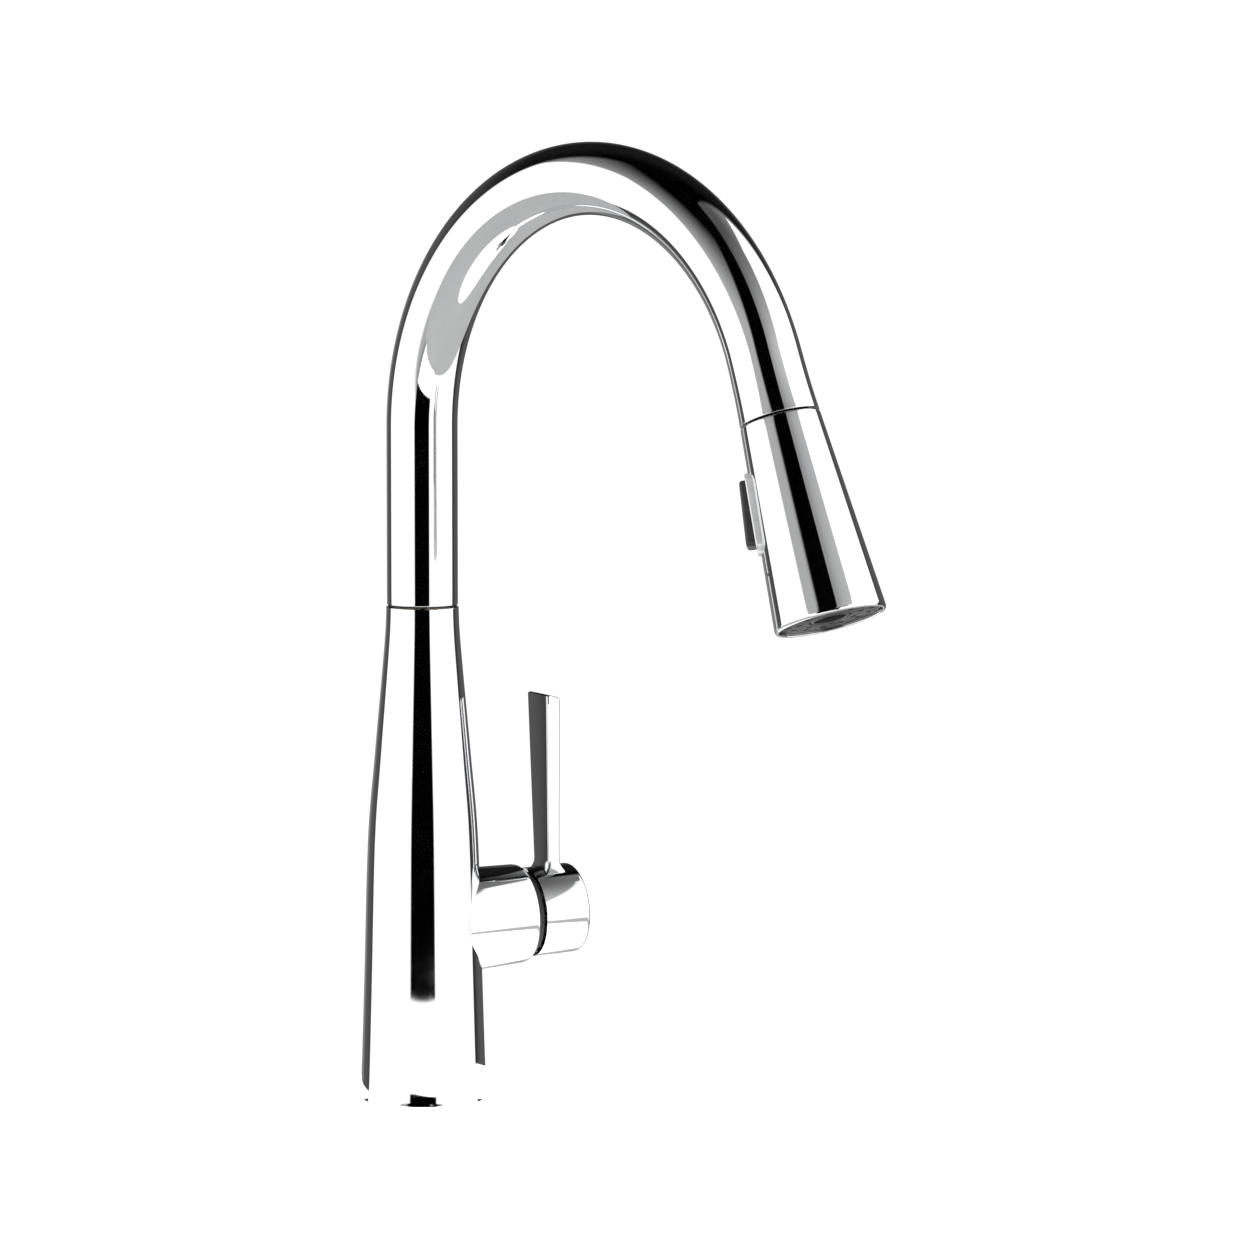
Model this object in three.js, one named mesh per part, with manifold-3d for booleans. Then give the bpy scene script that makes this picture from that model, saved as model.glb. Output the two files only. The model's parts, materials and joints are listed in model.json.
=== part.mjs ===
// Pull-down kitchen faucet with one side handle, as an assembly of separate pieces.
//
// Millimetres, +Z up. The origin is on the deck plane, on the body's axis. The handle's
// hub points along +X and the sink is towards -Y. The spout stands turned a little
// towards the handle, and the spray wand hangs docked in the end of the spout.
import * as THREE from 'three';
import { mergeVertices } from 'three/addons/utils/BufferGeometryUtils.js';
import Module from 'manifold-3d';

const wasm = await Module();
wasm.setup();

const RAD = Math.PI / 180;
const GAP = 0.3; // between pieces that touch on the real faucet

// Driving dimensions -----------------------------------------------------------------
const BODY_TOP = 204.4; // top edge of the body, at the swivel joint
const BODY_WALL = 2.2;
const NECK_BORE = 12.7; // bore at the top of the body, for the swivel spigot
const BODY_OUTLINE = [[26.4, GAP], [25.7, 9], [24.4, 50], [22.7, 108], [19.9, 142], [16.9, 175], [15.3, 194],
  [14.9, BODY_TOP]];

const SPOUT_TURN = 17 * RAD; // how far the spout is swivelled towards the handle at rest
const SPOUT_BOTTOM = BODY_TOP + 1;
const TUBE_OUTER = 14.6;
const TUBE_BORE = 13.2;
const ARCH_RADIUS = 104;
const ARCH_START = 278.5; // height at which the riser turns into the arch
const DOCK_TILT = 20.3 * RAD; // the wand's lean from the vertical
const DOCK_STRAIGHT = 25; // straight end of the spout, below the arch
const DOCK_OUTER = 16; // radius of the flared end of the spout

const WAND_LENGTH = 82.3;
const WAND_END_RADIUS = 22.3;
const WAND_WALL = 1.8;
const WAND_TURN = -44 * RAD; // how the wand sits turned about its own axis
const FACE_RECESS = 1.1;
const NECK_TOP = -23.5; // the wand's neck reaches this far up into the dock
const BUTTON_AT = 34; // distance of the button's middle from the top of the wand
const BUTTON_TILT = 3 * RAD; // the rocker rests with its upper end pressed
const BUTTON_WIDTH = 11;
const BUTTON_LENGTH = 27;

const HUB_HEIGHT = 72.6; // where the hub's axis crosses the body's axis
const HUB_TILT = 3 * RAD; // the hub points slightly up
const HUB_LENGTH = 45.5;
const HUB_BORE = 17.6;
const PIVOT = 30; // distance of the handle's ball centre from the body's axis
const KNOB_RADIUS = 18.5;
const KNOB_CLEARANCE = 25.74; // the knob's rim stays outside a ball of this radius
const KNOB_END = 69.2;
const LEVER_AT = 57.7; // the lever's place along the hub
const LEVER_TOP = 90.8;
const LEVER_FOOT_WIDTH = 14.9;
const LEVER_TOP_WIDTH = 19.6;
const LEVER_SADDLE = 18.9; // radius of the hollow over the knob
const STEM_RADIUS = 3.5;

const SHANK_OUTER = 15.9;
const SHANK_BORE = 13;
const SHANK_BOTTOM = -78;
const DECK_THICKNESS = 32;
const TUBE_ENDS = -84;
const HOSE_RADIUS = 4.8;
const HOSE_END = -112;
const HOSE_AT_SHANK = -7.2; // the hose runs beside the water tubes in the shank
const HOSE_AT_HOUSING = -11.5; // and behind the cartridge in the body
const HOUSING_BOTTOM = 48;
const HOUSING_TOP = 100;
const INLETS = { hot: [1.2, -7.5], cold: [1.2, 7.5] };
const OUTLET = [7.6, 0];

// Materials --------------------------------------------------------------------------
function material(color, roughness, metalness) {
  return new THREE.MeshStandardMaterial({ color, roughness, metalness });
}

const chrome = material(0xdfe1e3, 0.05, 1);
const brass = material(0xb08d4c, 0.35, 1);
const steel = material(0x9fa3a6, 0.3, 1);
const copper = material(0xb87350, 0.3, 1);
const blackPlastic = material(0x17181a, 0.45, 0);
const greyPlastic = material(0x6c7074, 0.45, 0);
const whitePlastic = material(0xe4e4df, 0.4, 0);
const rubber = material(0x1d1d1e, 0.8, 0);
const silicone = material(0x55585c, 0.6, 0);
const braid = material(0x8d9093, 0.5, 0.2);

// Shape helpers ----------------------------------------------------------------------
function signedVolume(geometry) {
  const at = geometry.attributes.position;
  const index = geometry.index.array;
  const corners = [new THREE.Vector3(), new THREE.Vector3(), new THREE.Vector3()];
  let total = 0;
  for (let i = 0; i < index.length; i += 3) {
    corners.forEach((corner, k) => corner.fromBufferAttribute(at, index[i + k]));
    total += corners[0].dot(corners[1].cross(corners[2]));
  }
  return total / 6;
}

// Merges shared vertices, drops the triangles that collapse on a lathe's axis and turns
// the faces outwards.
function closed(geometry) {
  geometry.deleteAttribute('normal');
  geometry.deleteAttribute('uv');
  const merged = mergeVertices(geometry, 1e-4);
  const kept = [];
  for (let i = 0; i < merged.index.count; i += 3) {
    const [a, b, c] = [0, 1, 2].map((k) => merged.index.getX(i + k));
    if (a !== b && b !== c && c !== a) {
      kept.push(a, b, c);
    }
  }
  merged.setIndex(kept);
  if (signedVolume(merged) < 0) {
    merged.setIndex(kept.reverse());
  }
  return merged;
}

function solid(geometry) {
  const shape = closed(geometry);
  return new wasm.Manifold(new wasm.Mesh({
    numProp: 3,
    vertProperties: new Float32Array(shape.attributes.position.array),
    triVerts: new Uint32Array(shape.index.array),
  }));
}

function geometryOf(manifold) {
  const mesh = manifold.getMesh();
  const geometry = new THREE.BufferGeometry();
  geometry.setAttribute('position', new THREE.BufferAttribute(new Float32Array(mesh.vertProperties), 3));
  geometry.setIndex(Array.from(mesh.triVerts));
  return geometry;
}

// A turned piece about Z. The profile is a list of [radius, height]; it starts and ends
// on the axis, or it is a ring that closes on itself.
function turned(profile, sides = 24) {
  const points = profile.map(([radius, height]) => new THREE.Vector2(radius, height));
  if (points[0].x > 0) {
    points.push(points[0].clone());
  }
  return new THREE.LatheGeometry(points, sides).rotateX(Math.PI / 2);
}

function disc(radius, bottom, top, sides = 24) {
  return turned([[0, bottom], [radius, bottom], [radius, top], [0, top]], sides);
}

function ring(inner, outer, bottom, top, sides = 28) {
  return turned([[inner, bottom], [outer, bottom], [outer, top], [inner, top]], sides);
}

function placed(geometry, x, y, z) {
  return geometry.translate(x, y, z);
}

function box(x, y, z, at) {
  return placed(new THREE.BoxGeometry(x, y, z), ...at);
}

// A round bar along X, from one x to another, at a height.
function crossBar(radius, from, to, height, sides = 12) {
  return placed(disc(radius, from, to, sides).rotateY(Math.PI / 2), 0, 0, height);
}

function cut(base, ...tools) {
  return geometryOf(tools.reduce((left, tool) => left.subtract(solid(tool)), solid(base)));
}

function joined(base, ...others) {
  return geometryOf(others.reduce((sum, other) => sum.add(solid(other)), solid(base)));
}

function roundedRectangle(width, length, corner) {
  const [x, y] = [width / 2, length / 2];
  const shape = new THREE.Shape();
  shape.moveTo(-x + corner, -y);
  shape.lineTo(x - corner, -y);
  shape.absarc(x - corner, -y + corner, corner, -Math.PI / 2, 0);
  shape.absarc(x - corner, y - corner, corner, 0, Math.PI / 2);
  shape.absarc(-x + corner, y - corner, corner, Math.PI / 2, Math.PI);
  shape.absarc(-x + corner, -y + corner, corner, Math.PI, Math.PI * 1.5);
  return shape;
}

function plate(shape, bottom, top, curveSegments = 4) {
  const options = { depth: top - bottom, bevelEnabled: false, curveSegments };
  return placed(new THREE.ExtrudeGeometry(shape, options), 0, 0, bottom);
}

function circle(radius, sides) {
  const shape = new THREE.Shape();
  for (let i = 0; i < sides; i += 1) {
    const angle = (i / sides) * 2 * Math.PI;
    const [x, y] = [radius * Math.cos(angle), radius * Math.sin(angle)];
    if (i === 0) {
      shape.moveTo(x, y);
    } else {
      shape.lineTo(x, y);
    }
  }
  return shape;
}

function alongPath(section, path, steps) {
  return new THREE.ExtrudeGeometry(section, { steps, extrudePath: path, bevelEnabled: false });
}

// The scene's pieces and the groups that place them -----------------------------------
const faucet = new THREE.Group();

const spoutGroup = new THREE.Group();
spoutGroup.rotation.z = SPOUT_TURN;
faucet.add(spoutGroup);

// In the wand's group +Z runs down the wand from the top of its shell.
const dockReach = ARCH_RADIUS * (1 + Math.cos(DOCK_TILT)) + DOCK_STRAIGHT * Math.sin(DOCK_TILT);
const dockHeight = ARCH_START + ARCH_RADIUS * Math.sin(DOCK_TILT) - DOCK_STRAIGHT * Math.cos(DOCK_TILT);
const dockGroup = new THREE.Group();
dockGroup.position.set(0, -dockReach, dockHeight);
dockGroup.rotation.x = Math.PI - DOCK_TILT;
spoutGroup.add(dockGroup);

const wandGroup = new THREE.Group();
wandGroup.rotation.z = WAND_TURN;
dockGroup.add(wandGroup);

// In the hub's group +Z runs out along the hub and -X is up.
const hubGroup = new THREE.Group();
hubGroup.position.set(0, 0, HUB_HEIGHT);
hubGroup.rotation.y = Math.PI / 2 - HUB_TILT;
faucet.add(hubGroup);

function add(group, name, geometry, finish) {
  const mesh = new THREE.Mesh(closed(geometry), finish);
  mesh.name = name;
  group.add(mesh);
}

// Body and deck fixing ----------------------------------------------------------------
function bodyRadii() {
  const curve = new THREE.SplineCurve(BODY_OUTLINE.map(([r, z]) => new THREE.Vector2(r, z)));
  return curve.getPoints(12).map((point) => [point.x, point.y]);
}

function faucetBody() {
  const radii = bodyRadii();
  const shell = turned([[0, GAP], ...radii, [0, BODY_TOP]], 40);
  const hub = turned([[0, 6], [21.6, 6], [20.4, 43.6], [19.9, 44.9], [18.9, HUB_LENGTH], [0, HUB_LENGTH]], 36);
  hub.rotateY(Math.PI / 2 - HUB_TILT).translate(0, 0, HUB_HEIGHT);
  const cavity = radii.map(([r, z]) => [Math.max(r - BODY_WALL, NECK_BORE), z]);
  const inside = turned([[0, -1], [cavity[0][0], -1], ...cavity.slice(1), [NECK_BORE, BODY_TOP + 1], [0, BODY_TOP + 1]]);
  const bore = disc(HUB_BORE, 4, HUB_LENGTH + 1, 32);
  bore.rotateY(Math.PI / 2 - HUB_TILT).translate(0, 0, HUB_HEIGHT);
  return cut(joined(shell, hub), inside, bore);
}

function swivelSpigot() {
  const grooves = [[12, 211.7], [11, 211.7], [11, 218.3], [12, 218.3], [12, 223], [10.4, 223], [10.4, 229],
    [12, 229], [12, 231.7], [11, 231.7], [11, 238.3], [12, 238.3]];
  return turned([[9.5, 168], [14, 168], [14, 173], [12.4, 173], [12.4, 204], [12, 204], ...grooves,
    [12, 242], [9.5, 242]]);
}

function valveHousing() {
  const block = disc(20.3, HOUSING_BOTTOM, HOUSING_TOP, 32);
  const socket = disc(16.2, 3, 44, 28);
  socket.rotateY(Math.PI / 2 - HUB_TILT).translate(0, 0, HUB_HEIGHT);
  const hoseWay = placed(disc(HOSE_RADIUS + 0.9, HOUSING_BOTTOM - 1, HOUSING_TOP + 1, 16), HOSE_AT_HOUSING, 0, 0);
  const ports = Object.values(INLETS).map(([x, y]) => placed(disc(2.4, HOUSING_BOTTOM - 1, 70, 12), x, y, 0));
  const outlet = placed(disc(2.4, HOUSING_BOTTOM - 1, 60, 12), ...OUTLET, 0);
  return cut(block, socket, hoseWay, ...ports, outlet);
}

function waterTube(radius) {
  return ring(radius - 1, radius, TUBE_ENDS, HOUSING_BOTTOM - GAP, 14);
}

function inletNipple() {
  const top = TUBE_ENDS - GAP;
  return turned([[2.2, top], [5.6, top], [5.6, top - 5], [4.9, top - 6], [4.9, top - 15.7], [2.2, top - 15.7]], 18);
}

function outletNipple() {
  const top = TUBE_ENDS - GAP;
  return turned([[2, top], [3.9, top], [3.9, top - 14], [3.2, top - 14.5], [3.2, top - 17], [3.9, top - 17.5],
    [3.9, top - 20], [3.2, top - 21.7], [2, top - 21.7]], 16);
}

function hoseConnector() {
  const top = HOSE_END - GAP;
  return turned([[3, top], [5.4, top], [5.4, top - 5], [7.5, top - 7], [7.5, top - 22], [6.6, top - 22.8],
    [6.6, top - 27.7], [4.4, top - 27.7], [4.4, top - 10], [3, top - 9]], 20);
}

function mountingNut() {
  const flange = disc(26, -50, -44, 32);
  const hexagon = disc(23.5, -58, -49.5, 6);
  const holes = [-21, 21].map((x) => placed(disc(2.8, -60, -40, 14), x, 0, 0));
  return cut(joined(flange, hexagon), disc(SHANK_OUTER + GAP, -60, -40, 32), ...holes);
}

function clampScrew() {
  const top = -37.3;
  return turned([[0, top], [1.6, top], [2.5, top - 1.2], [2.5, -60], [4.2, -60], [4.2, -63], [0, -63]], 14);
}

function addBody() {
  add(faucet, 'faucet_body', faucetBody(), chrome);
  add(faucet, 'deck_gasket', ring(16.5, 23.7, 0, 1.8, 36), rubber);
  add(faucet, 'base_plug', ring(SHANK_OUTER + GAP, 22.6, 2.2, 14), brass);
  add(faucet, 'shank', ring(SHANK_BORE, SHANK_OUTER, SHANK_BOTTOM, 16), brass);
  const gasketTop = -DECK_THICKNESS;
  add(faucet, 'under_deck_gasket', ring(SHANK_OUTER + 0.5, 26, gasketTop - 2.5, gasketTop), rubber);
  add(faucet, 'mounting_washer', ring(SHANK_OUTER + 0.5, 26, gasketTop - 5, gasketTop - 2.8), steel);
  add(faucet, 'mounting_nut', mountingNut(), brass);
  add(faucet, 'clamp_screw_left', placed(clampScrew(), -21, 0, 0), steel);
  add(faucet, 'clamp_screw_right', placed(clampScrew(), 21, 0, 0), steel);
  add(faucet, 'valve_housing', valveHousing(), brass);
  for (const [side, [x, y]] of Object.entries(INLETS)) {
    add(faucet, `${side}_inlet_tube`, placed(waterTube(3), x, y, 0), copper);
    add(faucet, `${side}_inlet_nipple`, placed(inletNipple(), x, y, 0), brass);
  }
  add(faucet, 'outlet_tube', placed(waterTube(3.2), ...OUTLET, 0), copper);
  add(faucet, 'outlet_nipple', placed(outletNipple(), ...OUTLET, 0), brass);
  add(faucet, 'hose_connector', placed(hoseConnector(), HOSE_AT_SHANK, 0, 0), greyPlastic);
  add(faucet, 'swivel_spigot', swivelSpigot(), brass);
  add(faucet, 'glide_washer', ring(12.3, 14.2, BODY_TOP + GAP, SPOUT_BOTTOM - GAP), blackPlastic);
  add(faucet, 'bearing_ring_lower', ring(11.3, 12.9, 212, 218, 28), whitePlastic);
  add(faucet, 'bearing_ring_upper', ring(11.3, 12.9, 232, 238, 28), whitePlastic);
}

// Handle -------------------------------------------------------------------------------
function ballHeight(ballRadius, radius) {
  return PIVOT + Math.sqrt(ballRadius ** 2 - radius ** 2);
}

function bonnetRing() {
  const [outer, inner] = [24.4, 22.8];
  const outside = [17.3, 16, 14.6, 13.2].map((r) => [r, ballHeight(outer, r)]);
  const inside = [13.2, 14.4, 15.7].map((r) => [r, ballHeight(inner, r)]);
  return turned([[17.3, 38], ...outside, ...inside, [15.7, 38]], 28);
}

function cartridgeBody() {
  return turned([[0, 3.3], [15.4, 3.3], [15.9, 4], [15.9, 26], [10.6, 26], [10.6, 20], [0, 20]], 28);
}

function cartridgeRotor() {
  const core = disc(10.3, 20.3, 33, 24);
  const slot = box(16.4, 7.6, 12, [0, 0, 28.5]);
  const pinWay = crossBar(1.5, -12, 12, PIVOT).rotateZ(Math.PI / 2);
  return cut(core, slot, pinWay);
}

function cartridgeStem() {
  const stem = disc(STEM_RADIUS, 24, 62.6, 16);
  const pinWay = crossBar(1.5, -6, 6, PIVOT).rotateZ(Math.PI / 2);
  return cut(stem, pinWay);
}

function handleKnob() {
  const rim = [16.5, 17.5, KNOB_RADIUS].map((r) => [r, ballHeight(KNOB_CLEARANCE, r)]);
  const profile = [[0, 63], [3.9, 63], [3.9, 55.3], [6.6, 55.3], [6.6, 64.5], [16.5, 64.5], ...rim,
    [KNOB_RADIUS, 66.4], [17.9, 67.8], [16.5, 68.4], [0, KNOB_END]];
  const screwWay = crossBar(2.4, 0, 10, 60);
  const plugWay = crossBar(2.9, 10, 20, 60);
  const leverWay = crossBar(2.6, -20, -10, LEVER_AT);
  return cut(turned(profile, 32), screwWay, plugWay, leverWay);
}

// The lever's outline lies in the plane of the hub's axis: x along the hub, y upwards.
// Its width, across that plane, grows from the foot to the top.
function handleLever() {
  const bevel = 1.1;
  const outline = new THREE.Shape([
    new THREE.Vector2(LEVER_AT - 1.5, 15),
    new THREE.Vector2(LEVER_AT + 1.5, 15),
    new THREE.Vector2(LEVER_AT + 4.3, LEVER_TOP - bevel - 1.3),
    new THREE.Vector2(LEVER_AT + 0.4, LEVER_TOP - bevel),
  ]);
  const blade = new THREE.ExtrudeGeometry(outline, {
    depth: LEVER_FOOT_WIDTH - 2 * bevel, bevelThickness: bevel, bevelSize: bevel, bevelSegments: 2,
  });
  blade.translate(0, 0, bevel - LEVER_FOOT_WIDTH / 2);
  const place = blade.getAttribute('position');
  for (let i = 0; i < place.count; i += 1) {
    const share = (place.getY(i) - LEVER_SADDLE) / (LEVER_TOP - LEVER_SADDLE);
    place.setZ(i, place.getZ(i) * (1 + (LEVER_TOP_WIDTH / LEVER_FOOT_WIDTH - 1) * share));
  }
  const upright = new THREE.Matrix4().makeBasis(
    new THREE.Vector3(0, 0, 1), new THREE.Vector3(-1, 0, 0), new THREE.Vector3(0, -1, 0));
  const hollow = turned([[0, 40], [LEVER_SADDLE, 40], [LEVER_SADDLE, 75], [0, 75]], 64);
  const saddled = cut(blade.applyMatrix4(upright), hollow);
  const tang = crossBar(2.2, -20.5, -11, LEVER_AT);
  return joined(saddled, tang);
}

function addHandle() {
  add(hubGroup, 'cartridge_body', cartridgeBody(), greyPlastic);
  add(hubGroup, 'cartridge_nut', ring(10.9, 17, 26.4, 33), brass);
  add(hubGroup, 'bonnet_ring', bonnetRing(), blackPlastic);
  add(hubGroup, 'cartridge_rotor', cartridgeRotor(), whitePlastic);
  add(hubGroup, 'stem_pin', crossBar(1.2, -9.4, 9.4, PIVOT).rotateZ(Math.PI / 2), steel);
  add(hubGroup, 'cartridge_stem', cartridgeStem(), steel);
  add(hubGroup, 'handle_knob', handleKnob(), chrome);
  add(hubGroup, 'handle_lever', handleLever(), chrome);
  add(hubGroup, 'handle_set_screw', crossBar(2, STEM_RADIUS + GAP, 11, 60), steel);
  add(hubGroup, 'handle_plug', crossBar(2.6, 16.8, 18.6, 60, 16), greyPlastic);
}

// Spout --------------------------------------------------------------------------------
// The middle line of the arch, from the top of the riser to the dock's straight end.
class ArchCurve extends THREE.Curve {
  getPoint(t) {
    const angle = t * (Math.PI - DOCK_TILT);
    const reach = ARCH_RADIUS * (1 - Math.cos(angle));
    return new THREE.Vector3(0, -reach, ARCH_START + ARCH_RADIUS * Math.sin(angle));
  }
}

// A point on the dock's axis, in the spout's group: below is how far it lies past the
// end of the spout, negative inside it.
function dockPoint(below) {
  const reach = dockReach + below * Math.sin(DOCK_TILT);
  return new THREE.Vector3(0, -reach, dockHeight - below * Math.cos(DOCK_TILT));
}

function spoutPath(bottom, end) {
  const path = new THREE.CurvePath();
  const arch = new ArchCurve();
  path.add(new THREE.LineCurve3(new THREE.Vector3(0, 0, bottom), arch.getPoint(0)));
  path.add(arch);
  if (end > -DOCK_STRAIGHT) {
    path.add(new THREE.LineCurve3(arch.getPoint(1), dockPoint(end)));
  }
  return path;
}

function spoutTube() {
  const path = spoutPath(SPOUT_BOTTOM, -24);
  const wall = circle(TUBE_OUTER, 22);
  wall.holes.push(circle(TUBE_BORE, 16));
  const flare = turned([[13, -27], [14.8, -27], [15.1, -16], [DOCK_OUTER, -0.35], [14.5, -0.35]], 32);
  flare.rotateX(Math.PI - DOCK_TILT).translate(0, -dockReach, dockHeight);
  const screwWay = placed(disc(2.4, 12, 16, 12).rotateX(-Math.PI / 2), 0, 0, 226);
  return cut(joined(alongPath(wall, path, 34), flare), screwWay);
}

function upperHose() {
  const path = new THREE.CurvePath();
  path.add(new THREE.LineCurve3(new THREE.Vector3(0, 0, SPOUT_BOTTOM), new THREE.Vector3(0, 0, ARCH_START)));
  const whole = new ArchCurve();
  const inArch = 1 - (41 - DOCK_STRAIGHT) / (ARCH_RADIUS * (Math.PI - DOCK_TILT));
  const arch = new THREE.Curve();
  arch.getPoint = (t) => whole.getPoint(t * inArch);
  path.add(arch);
  return alongPath(circle(HOSE_RADIUS, 10), path, 30);
}

// Down the body: beside the cartridge, then down the shank to the hose's own connector.
function lowerHose() {
  const path = new THREE.CurvePath();
  const at = (x, z) => new THREE.Vector3(x, 0, z);
  path.add(new THREE.LineCurve3(at(0, SPOUT_BOTTOM - GAP), at(0, 175)));
  path.add(new THREE.CubicBezierCurve3(at(0, 175), at(0, 145), at(HOSE_AT_HOUSING, 135), at(HOSE_AT_HOUSING, 104)));
  path.add(new THREE.LineCurve3(at(HOSE_AT_HOUSING, 104), at(HOSE_AT_HOUSING, 47)));
  path.add(new THREE.CubicBezierCurve3(at(HOSE_AT_HOUSING, 47), at(HOSE_AT_HOUSING, 34), at(HOSE_AT_SHANK, 30),
    at(HOSE_AT_SHANK, 17)));
  path.add(new THREE.LineCurve3(at(HOSE_AT_SHANK, 17), at(HOSE_AT_SHANK, HOSE_END)));
  return alongPath(circle(HOSE_RADIUS, 10), path, 26);
}

function addSpout() {
  add(spoutGroup, 'spout_tube', spoutTube(), chrome);
  const screw = placed(disc(2, 10.8, 14.3, 12).rotateX(-Math.PI / 2), 0, 0, 226);
  add(spoutGroup, 'spout_set_screw', screw, steel);
  add(spoutGroup, 'spray_hose_upper', upperHose(), braid);
  add(faucet, 'spray_hose_lower', lowerHose(), braid);
  add(dockGroup, 'dock_bushing', turned([[9.6, -24], [12.75, -24], [13.75, -6], [11.1, -6]]), blackPlastic);
  add(dockGroup, 'dock_magnet', turned([[11.5, -5.6], [13.8, -5.6], [14, -1.1], [11.5, -1.1]]), steel);
}

// Wand ---------------------------------------------------------------------------------
function wandShell() {
  const inner = (w) => WAND_END_RADIUS - WAND_WALL - 0.3 - (78.7 - w) * 0.0793;
  const shell = turned([[12.2, 0.35], [15.7, 0.35], [DOCK_OUTER, 0.7], [WAND_END_RADIUS, 81.6],
    [WAND_END_RADIUS - 0.4, WAND_LENGTH], [20.6, WAND_LENGTH], [20.6, 79], [inner(78.7), 78.7], [inner(3), 3],
    [12.2, 3]], 40);
  const window = plate(roundedRectangle(15.6, 32.6, 4.8), -8, 4);
  return cut(shell, toButtonFrame(window));
}

// The button's frame: x across the wand, y down its side, z straight out of it.
const sideAngle = Math.atan2(WAND_END_RADIUS - DOCK_OUTER, WAND_LENGTH);
const sideRadius = DOCK_OUTER + BUTTON_AT * Math.tan(sideAngle);

function toButtonFrame(geometry) {
  return geometry.rotateX(Math.PI / 2 + sideAngle).translate(0, -sideRadius, BUTTON_AT);
}

function buttonBezel() {
  const frame = plate(roundedRectangle(15, 32, 4.5), -3, 1.3);
  const hole = plate(roundedRectangle(BUTTON_WIDTH + 0.8, BUTTON_LENGTH + 1, 2.9), -4, 2);
  return cut(frame, hole, crossBar(1.3, -8, 8, -1));
}

function sprayButton() {
  const shape = roundedRectangle(BUTTON_WIDTH - 1.6, BUTTON_LENGTH - 1.6, 1.8);
  const pad = new THREE.ExtrudeGeometry(shape, {
    depth: 4.4, bevelThickness: 0.8, bevelSize: 0.8, bevelSegments: 2, curveSegments: 4,
  });
  const boss = box(7, 4.8, 3.4, [0, 0, -1.9]);
  const lug = box(3.6, 2.2, 6.2, [0, 0, -6.1]);
  return cut(joined(placed(pad, 0, 0, -0.7), boss, lug), crossBar(1.3, -8, 8, -1));
}

function wandCore() {
  const outside = turned([[0, 8], [12.4, 8], [12.4, 59], [17.9, 60], [17.9, 64], [0, 64]], 28);
  const inlet = disc(5.9, 7, 24, 18);
  const jetWay = disc(4, 38, 65, 14);
  const chamber = placed(disc(3.6, 22, 65, 14), 0, -7.5, 0);
  const lugWay = box(5.4, 7, 8, [0, -10.5, BUTTON_AT]);
  return cut(outside, inlet, jetWay, chamber, lugWay);
}

function diverterPlunger() {
  const waist = [[3.2, BUTTON_AT - 1.8], [1.6, BUTTON_AT - 1.8], [1.6, BUTTON_AT + 3], [3.2, BUTTON_AT + 3]];
  const plunger = turned([[0, 25.5], [3.2, 25.5], ...waist, [3.2, 44], [1.5, 44], [1.5, 47], [0, 47]], 16);
  return placed(plunger, 0, -7.5, 0);
}

class SpringCurve extends THREE.Curve {
  getPoint(t) {
    const angle = t * 4 * 2 * Math.PI;
    return new THREE.Vector3(2.5 * Math.cos(angle), 2.5 * Math.sin(angle), 45 + 12 * t);
  }
}

function nozzlePlaces() {
  const rows = [[8, 12.4], [14, 16.6]];
  return rows.flatMap(([count, radius]) => Array.from({ length: count }, (_, i) => {
    const angle = (i / count) * 2 * Math.PI;
    return [radius * Math.cos(angle), radius * Math.sin(angle)];
  }));
}

function nozzleRing() {
  const tips = nozzlePlaces().map(([x, y]) => placed(turned([[0, 78], [0.9, 78], [0.7, 81.8], [0, 81.8]], 6), x, y, 0));
  return joined(ring(9.2, 19.2, 76.4, 79, 28), ...tips);
}

function facePlate() {
  const faceTop = WAND_LENGTH - FACE_RECESS;
  const holes = nozzlePlaces().map(([x, y]) => placed(disc(1.2, 78, 83, 6), x, y, 0));
  return cut(ring(8.3, 20.2, 79.3, faceTop, 36), ...holes);
}

function aerator() {
  return turned([[0, 72], [7.9, 72], [7.9, 80.9], [7.3, 81.2], [6.4, 81.2], [6.4, 79.4], [0, 79.4]], 24);
}

function oRing(radius, section, height) {
  const profile = Array.from({ length: 6 }, (_, i) => {
    const angle = (i / 6) * 2 * Math.PI;
    return [radius + section * Math.cos(angle), height + section * Math.sin(angle)];
  });
  return turned(profile, 28);
}

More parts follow.
